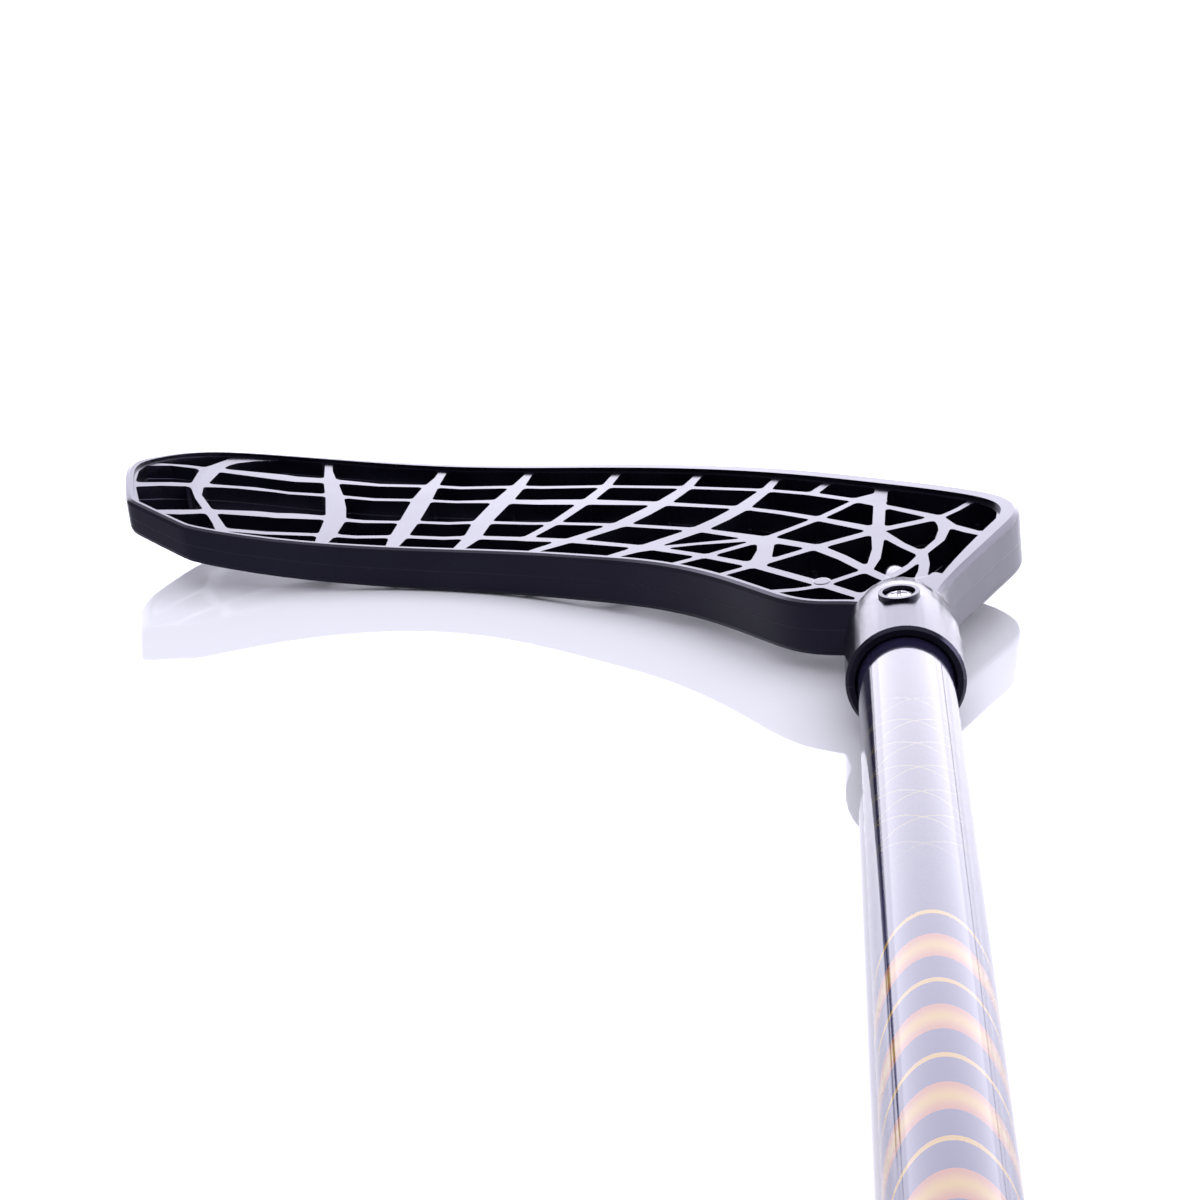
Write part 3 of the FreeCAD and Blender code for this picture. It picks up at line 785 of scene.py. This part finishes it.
# Matte black moulded plastic with a spark-eroded grain and faint scuffs
CAP_PLASTIC = Finish(
    name="cap_plastic",
    colour=(0.014, 0.014, 0.016),
    second=(0.028, 0.028, 0.031),
    limits=(0.45, 0.75),
    gloss=(0.46, 0.6),
    patches=Noise(90.0, 6.0),
    relief=Relief(0.05 * MM, 0.5),
    grain=Noise(1800.0, 2.0),
    specular=0.45,
)
# A pale, polished studio floor, even in colour and a little uneven in its gloss
FLOOR_GLOSS = Finish(
    name="studio_floor",
    colour=(0.84, 0.84, 0.92),
    second=(0.84, 0.84, 0.92),
    limits=NOISE_RANGE,
    gloss=(0.03, 0.036),
    patches=Noise(3.0, 3.0),
)


def dress(piece: Object, finish: Finish, slot: Slot, body: Body, *nodes: str) -> None:
    """Give a piece its finish, put it in the place of CAD nodes and let it ride.

    Args:
        piece: the piece.
        finish: its finish.
        slot: the record's material slot, which is not used.
        body: the body it rides on.
        *nodes: the CAD nodes it stands for.
    """
    piece.data.materials.clear()
    piece.data.materials.append(finish.material())
    if nodes:
        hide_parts(*nodes)
    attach(piece, body.value)
    LOG.info("%s: %d faces", piece.name, len(piece.data.polygons))


@dataclass
class Blade:
    """The moulded blade with its lattice, hook, neck and screw boss."""

    name: str = "blade_moulding"
    hook_start: float = 105.0 * MM
    hook_radius: float = 320.0 * MM
    edge_width: float = 0.3 * MM
    edge_degrees: float = 32.0
    sharp_degrees: float = 14.0
    flat_degrees: float = 0.6
    lip: float = 1.8 * MM

    def build(self) -> Object:
        """Copy the moulding, weld it, join its flat faces, mark off the neck's lip and soften the edges.

        Returns:
            The blade.
        """
        mesh = frame["nodes"]["blade"].data.copy()
        mesh.name = self.name
        shell = bmesh.new()
        shell.from_mesh(mesh)
        bmesh.ops.remove_doubles(shell, verts=shell.verts, dist=WELD)
        flat = math.radians(self.flat_degrees)
        bmesh.ops.dissolve_limit(shell, angle_limit=flat, verts=shell.verts, edges=shell.edges)
        whole = [*shell.verts, *shell.edges, *shell.faces]
        lip = (0.0, AXES.mouth_y + self.lip, 0.0)
        bmesh.ops.bisect_plane(shell, geom=whole, plane_co=lip, plane_no=ROW_Y)
        shell.to_mesh(mesh)
        shell.free()
        piece = put_object(self.name, mesh)
        edge = piece.modifiers.new("edge", "BEVEL")
        edge.width = self.edge_width
        edge.segments = 1
        edge.limit_method = "ANGLE"
        edge.angle_limit = math.radians(self.edge_degrees)
        edge.use_clamp_overlap = True
        settle(piece, self.sharp_degrees)
        self.mark_level(piece.data)
        return piece

    def mark_level(self, mesh: Mesh) -> None:
        """Store each point's height above the blade's hooked middle surface.

        The middle surface is flat up to the hook and then an arc: at a distance d past the hook's start it
        has risen by R − √(R² − d²).

        Args:
            mesh: the blade's mesh.
        """
        points = np.empty(len(mesh.vertices) * 3)
        mesh.vertices.foreach_get("co", points)
        across, _, up = AXES.to_stick(points.reshape(-1, 3))
        past = np.maximum(-across - self.hook_start, 0.0)
        rise = self.hook_radius - np.sqrt(self.hook_radius**2 - past**2)
        level = mesh.attributes.new(LEVEL, "FLOAT", "POINT")
        level.data.foreach_set("value", (up - rise).astype(np.float32))

    def dress(self) -> None:
        """Build the blade and finish it."""
        dress(self.build(), BladePlastic(), Slot.BLADE, Body.STICK, "blade")


@dataclass
class Crown:
    """A low dome that stands among the ribs, level with the stick's own directions."""

    name: str
    across: float
    along: float
    half_width: float
    half_length: float
    base: float
    top: float
    fullness: float
    fall: float = 0.0
    sharp_degrees: float = 60.0
    rows: int = 28
    columns: int = 72

    def build(self) -> Object:
        """Raise the dome over an ellipse, on a flat base.

        At a share s of the way from the middle to the edge the surface has climbed √(1 − sⁿ) of the way
        from the base to the top, where n is the fullness, and the top falls evenly along the stick.

        Returns:
            The dome.
        """
        angle = turn_angles(self.columns)[None, :]
        share = np.sin(np.linspace(0.0, math.pi / 2, self.rows))[:, None]
        ahead = self.half_length * share * np.sin(angle)
        climb = np.sqrt(1.0 - share**self.fullness)
        up = self.base + (self.top - self.base - self.fall * ahead) * climb
        beside = self.half_width * share * np.cos(angle)
        middle = np.zeros((1, self.columns))
        points = AXES.to_row(
            self.across + np.concatenate([beside, middle]),
            self.along + np.concatenate([ahead, middle]),
            np.concatenate([up, middle + self.base]),
        )
        faces = tube_faces(self.rows + 1, self.columns)
        return put_mesh(self.name, points, faces, self.sharp_degrees)

    def dress(self) -> None:
        """Build the dome and finish it as the blade."""
        dress(self.build(), BladePlastic(), Slot.BLADE, Body.STICK)


@dataclass
class Screw:
    """A neck screw: crowned head with a cross recess, threaded shank and point."""

    node: str
    body: Body
    joint: str
    seat_height: float
    head_radius: float = 3.5 * MM
    head_height: float = 1.7 * MM
    head_rings: int = 72
    crown: float = 0.8 * MM
    rim_shares: tuple[Pair, ...] = ((1.0, 0.16), (0.985, 0.05), (0.94, 0.0))
    recess_length: float = 4.2 * MM
    recess_width: float = 0.95 * MM
    recess_depth: float = 1.15 * MM
    recess_ease: Pair = (0.07 * MM, -0.13 * MM)
    recess_rise_share: float = 0.45
    shank_radius: float = 2.0 * MM
    shank_length: float = 10.0 * MM
    shank_rings: int = 190
    point_length: float = 3.0 * MM
    point_share: float = 0.06
    thread_pitch: float = 1.4 * MM
    thread_depth: float = 0.42 * MM
    thread_start: Pair = (0.4 * MM, 1.2 * MM)
    ridge_shares: Pair = (0.06, 0.26)
    sharp_degrees: float = 35.0
    columns: int = 128

    def head_rows(self) -> tuple[Array, Array]:
        """Radius and height over the head, from the middle of its crown to the shank.

        The crown falls as the square of the radius. The cross recess takes away a depth that eases in over
        its edge, measured as the distance to the nearer of two bars, and is deepest in the middle.

        Returns:
            Radius and height, one row for each ring.
        """
        angle = turn_angles(self.columns)[None, :]
        ring = np.ones_like(angle)
        share = np.linspace(0.0, 1.0, self.head_rings)[:, None]
        radius = self.head_radius * share * ring
        along, beside = np.abs(radius * np.cos(angle)), np.abs(radius * np.sin(angle))
        half_length, half_width = self.recess_length / 2, self.recess_width / 2
        first = np.maximum(along - half_length, beside - half_width)
        second = np.maximum(beside - half_length, along - half_width)
        inside = smooth_step(*self.recess_ease, np.minimum(first, second))
        outward = np.minimum(radius / half_length, 1.0)
        depth = self.recess_depth * (1.0 - self.recess_rise_share * outward)
        height = self.head_height - self.crown * share**2 - inside * depth
        shares = np.array(self.rim_shares)
        rim = shares[:, :1] * self.head_radius * ring
        rim_height = shares[:, 1:] * self.head_height * ring
        return np.concatenate([radius, rim]), np.concatenate([height, rim_height])

    def shank_rows(self) -> tuple[Array, Array]:
        """Radius and height down the shank to the point.

        The thread is a ridge whose height depends on how far the height, in pitches, less the angle, in
        turns, is from a whole number, so that it climbs as a helix. It runs out under the head and at the
        point.

        Returns:
            Radius and height, one row for each ring.
        """
        angle = turn_angles(self.columns)[None, :]
        depth = np.linspace(0.0, self.shank_length, self.shank_rings)[:, None]
        phase = depth / self.thread_pitch - angle / FULL_TURN
        ridge = 1.0 - smooth_step(*self.ridge_shares, np.abs(phase - np.round(phase)))
        begins = smooth_step(*self.thread_start, depth)
        core = self.shank_radius - self.thread_depth * begins
        taper = smooth_step(0.0, self.point_length, self.shank_length - depth)
        narrowed = self.point_share + (1.0 - self.point_share) * taper
        radius = (core + self.thread_depth * ridge * begins) * narrowed
        tip = np.zeros_like(angle)
        height = np.concatenate([-depth * np.ones_like(angle), tip - self.shank_length])
        return np.concatenate([radius, tip]), height

    def build(self) -> Object:
        """Carry the head and shank rings along the screw's way out of the neck.

        Returns:
            The screw.
        """
        radius, height = map(np.concatenate, zip(self.head_rows(), self.shank_rows()))
        line = screw_line(joint_axis(self.joint))
        return line.turn(f"{self.node}_turned", radius, self.seat_height + height, self.sharp_degrees)

    def dress(self) -> None:
        """Build the screw and finish it."""
        dress(self.build(), SCREW_STEEL, Slot.SCREW, self.body, self.node)


@dataclass
class Shaft:
    """The tapered tube with its screw holes."""

    wall: float = 1.6 * MM
    blade_radius: float = 12.0 * MM
    grip_radius: float = 12.8 * MM
    taper_start: float = 318.0 * MM
    taper_length: float = 80.0 * MM
    edge_round: float = 0.4 * MM
    taper_round: float = 24.0 * MM
    round_steps: int = 5
    hole_radius: float = 2.3 * MM
    hole_reach_shares: Pair = (0.3, 1.5)
    hole_columns: int = 40
    sharp_degrees: float = 40.0
    columns: int = 144

    def build(self) -> Object:
        """Turn the tube's closed section about the axis and drill it for the two screws.

        Returns:
            The shaft.
        """
        low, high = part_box("shaft")
        bore = self.blade_radius - self.wall
        middle = (low.y + high.y) / 2
        edge, taper = self.edge_round, self.taper_round
        corners = np.array(
            [
                [bore, middle],
                [bore, low.y],
                [self.grip_radius, low.y],
                [self.grip_radius, low.y + self.taper_start],
                [self.blade_radius, low.y + self.taper_start + self.taper_length],
                [self.blade_radius, AXES.mouth_y + SCREW_STATION / 2],
                [self.blade_radius, high.y],
                [bore, high.y],
                [bore, middle],
            ]
        )
        radii = np.array([edge, edge, taper, taper, edge, edge, edge])
        profile = rounded_profile(corners, radii, self.round_steps)
        piece = SHAFT_LINE.revolve("shaft_tube", profile, self.columns, self.sharp_degrees)
        for joint in frame["joints"]:
            cut_away(piece, self.drill(joint["axis"]), self.sharp_degrees)
        return piece

    def drill(self, out: Triple) -> Object:
        """A pin from near the axis outwards, as wide as a screw hole.

        Args:
            out: the direction of the hole.

        Returns:
            The pin.
        """
        near, far = np.array(self.hole_reach_shares) * self.blade_radius
        profile = np.array([[0.0, near], [self.hole_radius, near], [self.hole_radius, far], [0.0, far]])
        return screw_line(out).revolve("screw_hole", profile, self.hole_columns, self.sharp_degrees)

    def dress(self) -> None:
        """Build the shaft and finish it."""
        dress(self.build(), ShaftLacquer(), Slot.SHAFT, Body.STICK, "shaft")


@dataclass
class GripWrap:
    """Cushioned tape wound round the upper end of the shaft."""

    thickness: float = 1.5 * MM
    pitch: float = 24.0 * MM
    lap_rise: float = 0.55 * MM
    lap_share: float = 0.10
    cushion: float = 0.28 * MM
    end_length: float = 6.0 * MM
    sharp_degrees: float = 50.0
    rows: int = 420
    columns: int = 120

    def build(self) -> Object:
        """Wind the tape: a closed sleeve whose outer radius follows one helical lap.

        At angle a and height h the place within the winding is the broken-off part of h / pitch − a / turn.
        The tape's edge rises there over a small share and then sinks slowly to the next edge, with a soft
        crown between. The outside eases to a plain ring at both ends.

        Returns:
            The wrap.
        """
        low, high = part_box("grip_wrap")
        outside = (high.x - low.x) / 2
        angle = turn_angles(self.columns)[None, :]
        y = np.linspace(low.y, high.y, self.rows)[:, None]
        winding = np.mod((y - low.y) / self.pitch - angle / FULL_TURN, 1.0)
        edge = smooth_step(0.0, self.lap_share, winding)
        sink = self.lap_rise * (1.0 - edge + edge * smooth_step(self.lap_share, 1.0, winding))
        crown = self.cushion * (1.0 - np.sin(math.pi * winding))
        ends = smooth_step(0.0, self.end_length, np.minimum(y - low.y, high.y - y))
        outer = outside - (sink + crown) * ends - (1.0 - ends) * self.lap_rise / 2
        bore = np.full((1, self.columns), outside - self.thickness)
        radius = np.concatenate([bore, outer, bore, bore])
        height = np.concatenate([y[:1], y, y[-1:], y[:1]])
        return SHAFT_LINE.turn("grip_winding", radius, height, self.sharp_degrees)

    def dress(self) -> None:
        """Build the wrap and finish it."""
        dress(self.build(), GripTape(), Slot.GRIP, Body.STICK, "grip_wrap")


@dataclass
class GripBand:
    """The finishing tape over the grip's lower edge, with its lapped end."""

    overlap: float = 12.0 * MM
    thickness: float = 0.34 * MM
    grip_radius: float = 14.45 * MM
    shaft_radius: float = 12.95 * MM
    fall: float = 3.0 * MM
    seam_share: float = 0.02
    seam_rise: float = 0.14 * MM
    sharp_degrees: float = 40.0
    rows: int = 90
    columns: int = 200

    def build(self) -> Object:
        """Lay the band: a closed thin sleeve that steps down from the grip to the shaft.

        The inside keeps the grip's radius up to its edge, then falls to the shaft along a cubic. The outside
        is the inside plus the tape, and the lapped end sinks the skin on one side of a line along the shaft.

        Returns:
            The band.
        """
        low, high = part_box("grip_band")
        angle = turn_angles(self.columns)[None, :]
        y = np.linspace(low.y, high.y, self.rows)[:, None]
        edge = low.y + self.overlap
        fallen = smooth_step(edge, edge + self.fall, y)
        inner = self.grip_radius - (self.grip_radius - self.shaft_radius) * fallen
        lap = smooth_step(0.0, self.seam_share, angle / FULL_TURN)
        outer = inner + self.thickness - self.seam_rise * lap
        inside = np.tile(inner, self.columns)
        radius = np.concatenate([inside[:1], outer, inside[::-1]])
        height = np.concatenate([y[:1], y, y[::-1]])
        return SHAFT_LINE.turn("grip_band_lap", radius, height, self.sharp_degrees)

    def dress(self) -> None:
        """Build the band and finish it."""
        dress(self.build(), BAND_TAPE, Slot.BAND, Body.STICK, "grip_band")


@dataclass
class EndCap:
    """The plug in the butt end with its rounded flange."""

    flange: float = 7.0 * MM
    plug_wall: float = 2.0 * MM
    plug_clearance: float = 0.3 * MM
    bore_radius: float = 10.4 * MM
    dish: float = 0.7 * MM
    dish_share: float = 0.72
    vent_radius: float = 1.6 * MM
    round: float = 1.6 * MM
    round_shares: tuple[float, ...] = (0.3, 0.6, 0.4, 1.0, 0.45, 0.1, 0.3, 0.3, 0.5)
    round_steps: int = 6
    sharp_degrees: float = 40.0
    columns: int = 128

    def build(self) -> Object:
        """Turn the cap's section: a dished end with a vent, a rounded flange and a hollow plug.

        Returns:
            The cap.
        """
        low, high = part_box("end_cap")
        outer = (high.x - low.x) / 2
        plug = self.bore_radius - self.plug_clearance
        inside = plug - self.plug_wall
        seat = low.y + self.flange
        dish_edge = outer * self.dish_share
        corners = np.array(
            [
                [self.vent_radius, seat],
                [self.vent_radius, low.y + self.dish],
                [dish_edge, low.y + self.dish],
                [dish_edge + self.dish, low.y],
                [outer, low.y],
                [outer, seat],
                [plug, seat],
                [plug, high.y],
                [inside, high.y],
                [inside, seat],
                [self.vent_radius, seat],
            ]
        )
        radii = np.array(self.round_shares) * self.round
        profile = rounded_profile(corners, radii, self.round_steps)
        return SHAFT_LINE.revolve("end_cap_plug", profile, self.columns, self.sharp_degrees)

    def dress(self) -> None:
        """Build the cap and finish it."""
        dress(self.build(), CAP_PLASTIC, Slot.CAP, Body.STICK, "end_cap")


@dataclass(frozen=True)
class LightWall:
    """A wall of soft light: its two ends on the floor, and how bright its low and high panels are."""

    name: str
    start: Pair
    end: Pair
    radiance: Pair


@dataclass
class Studio:
    """A pale polished floor, two walls of soft light that meet in a corner, and a soft light overhead."""

    floor_half: float = 6.0
    floor_drop: float = 0.1 * MM
    walls: tuple[LightWall, ...] = (
        LightWall("back", (-2.3, 2.34), (1.8, 2.34), (4.2, 5.8)),
        LightWall("heel", (1.8, 2.34), (3.4, -1.7), (5.7, 10.8)),
    )
    wall_tiers: tuple[str, str] = ("low", "high")
    wall_levels: Triple = (0.02, 0.3, 2.18)
    wall_tint: Colour = (0.875, 0.855, 1.0)
    top_size: float = 4.4
    top_along: float = 0.14
    top_height: float = 2.2
    top_radiance: float = 1.4
    top_tint: Colour = (0.97, 0.96, 1.0)
    ambient: float = 0.5
    ambient_tint: Colour = (0.95, 0.94, 1.0)

    def build(self) -> None:
        """Set up the floor, the lights and the surroundings."""
        self.floor()
        for wall in self.walls:
            self.wall(wall)
        overhead = Vector((0.0, self.top_along, self.top_height))
        square = (self.top_size, self.top_size)
        lamp = self.panel("top_panel", overhead, Vector((0.0, 0.0, -1.0)), square, self.top_radiance)
        lamp.data.color = self.top_tint
        self.surroundings()

    def floor(self) -> None:
        """Lay a wide floor just under the object."""
        half = self.floor_half
        corners = np.array([[-half, -half], [half, -half], [half, half], [-half, half]])
        points = np.column_stack([corners, np.full(4, -self.floor_drop)])
        mesh = bpy.data.meshes.new("floor")
        mesh.from_pydata(points.tolist(), [], [(0, 1, 2, 3)])
        mesh.materials.append(FLOOR_GLOSS.material())
        floor = put_object("floor", mesh)

    def wall(self, wall: LightWall) -> None:
        """Hang a wall's low and high panels, which light only what mirrors them.

        Args:
            wall: the wall.
        """
        start, end = Vector(wall.start), Vector(wall.end)
        run = end - start
        facing = Vector((run.y, -run.x, 0.0))
        bottoms, tops = self.wall_levels[:-1], self.wall_levels[1:]
        for tier, low, high, radiance in zip(self.wall_tiers, bottoms, tops, wall.radiance):
            place = ((start + end) / 2).to_3d()
            place.z = (low + high) / 2
            size = (run.length, high - low)
            lamp = self.panel(f"{wall.name}_panel_{tier}", place, facing, size, radiance)
            lamp.data.color = self.wall_tint
            lamp.visible_diffuse = False

    def panel(self, name: str, place: Vector, facing: Vector, size: Pair, radiance: float) -> Object:
        """Hang a soft rectangular panel that the camera doesn't see.

        Args:
            name: the lamp's name.
            place: its middle.
            facing: the direction in which it shines.
            size: its width and height.
            radiance: how bright its face is, where white paper under plain light is 1.

        Returns:
            The lamp.
        """
        light = bpy.data.lights.new(name, "AREA")
        light.shape = "RECTANGLE"
        light.size, light.size_y = size
        light.energy = radiance * math.pi * size[0] * size[1]
        lamp = put_object(name, light)
        lamp.location = place
        lamp.rotation_euler = facing.to_track_quat("-Z", "Y").to_euler()
        lamp.visible_camera = False
        return lamp

    def surroundings(self) -> None:
        """Fill the room with a soft even light, and show white to the camera and to gloss."""
        world = bpy.data.worlds.new("studio_room")
        world.use_nodes = True
        nodes, links = world.node_tree.nodes, world.node_tree.links
        backdrop = nodes["Background"]
        backdrop.inputs["Color"].default_value = (*self.ambient_tint, 1.0)
        rays = nodes.new("ShaderNodeLightPath")
        seen = nodes.new("ShaderNodeMath")
        seen.operation = "MAXIMUM"
        links.new(rays.outputs["Is Camera Ray"], seen.inputs[0])
        links.new(rays.outputs["Is Glossy Ray"], seen.inputs[1])
        level = nodes.new("ShaderNodeMapRange")
        level.inputs["To Min"].default_value = self.ambient
        level.inputs["To Max"].default_value = 1.0
        links.new(seen.outputs[0], level.inputs["Value"])
        links.new(level.outputs["Result"], backdrop.inputs["Strength"])
        bpy.context.scene.world = world


@dataclass
class PhotoCamera:
    """The camera at the photograph's place, measured from the neck's mouth before the stick rolled."""

    across: float = -31.9 * MM
    along: float = -645.1 * MM
    up: float = 262.5 * MM
    bearing: float = -3.905
    pitch: float = 20.556
    cant: float = 6.1
    lens: float = 84.0
    sensor: float = 36.0
    nearest: float = 10.0 * MM

    def build(self) -> None:
        """Place the camera: its pose in the photograph, turned about the shaft by the difference in roll."""
        bearing, pitch = math.radians(self.bearing), math.radians(self.pitch)
        ahead = Vector((math.sin(bearing), math.cos(bearing), -math.tan(pitch))) * math.cos(pitch)
        right = Vector((math.cos(bearing), -math.sin(bearing), 0.0))
        above = right.cross(ahead)
        turn = Matrix.Rotation(math.radians(self.cant) - AXES.roll, 3, "Y")
        place = turn @ Vector((self.across, self.along, self.up))
        columns = (turn @ right, turn @ above, turn @ -ahead)
        pose = Matrix(columns).transposed().to_4x4()
        pose.translation = place + Vector(AXES.mouth)
        camera = bpy.data.cameras.new("photo_camera")
        camera.lens = self.lens
        camera.sensor_width = self.sensor
        camera.clip_start = self.nearest
        viewer = put_object("photo_camera", camera)
        viewer.matrix_world = pose
        bpy.context.scene.camera = viewer


def main() -> None:
    """Build the stick piece by piece, then the studio and the camera."""
    logging.basicConfig(level=logging.INFO, format="%(name)s %(message)s")
    bpy.context.scene.view_settings.view_transform = "Standard"
    Blade().dress()
    Crown(
        name="neck_nose",
        across=-0.3 * MM,
        along=67.5 * MM,
        half_width=5.0 * MM,
        half_length=12.5 * MM,
        base=-3.0 * MM,
        top=5.3 * MM,
        fullness=3.6,
        fall=0.05,
    ).dress()
    Crown(
        name="rib_pad",
        across=-20.0 * MM,
        along=60.8 * MM,
        half_width=3.0 * MM,
        half_length=3.5 * MM,
        base=1.0 * MM,
        top=6.36 * MM,
        fullness=14.0,
    ).dress()
    Shaft().dress()
    Screw("neck_screw_top", Body.TOP_SCREW, "top_screw_out", seat_height=13.75 * MM).dress()
    Screw("neck_screw_heel", Body.HEEL_SCREW, "heel_screw_out", seat_height=13.35 * MM).dress()
    GripWrap().dress()
    GripBand().dress()
    EndCap().dress()
    Studio().build()
    PhotoCamera().build()


if __name__ == "__main__":
    main()
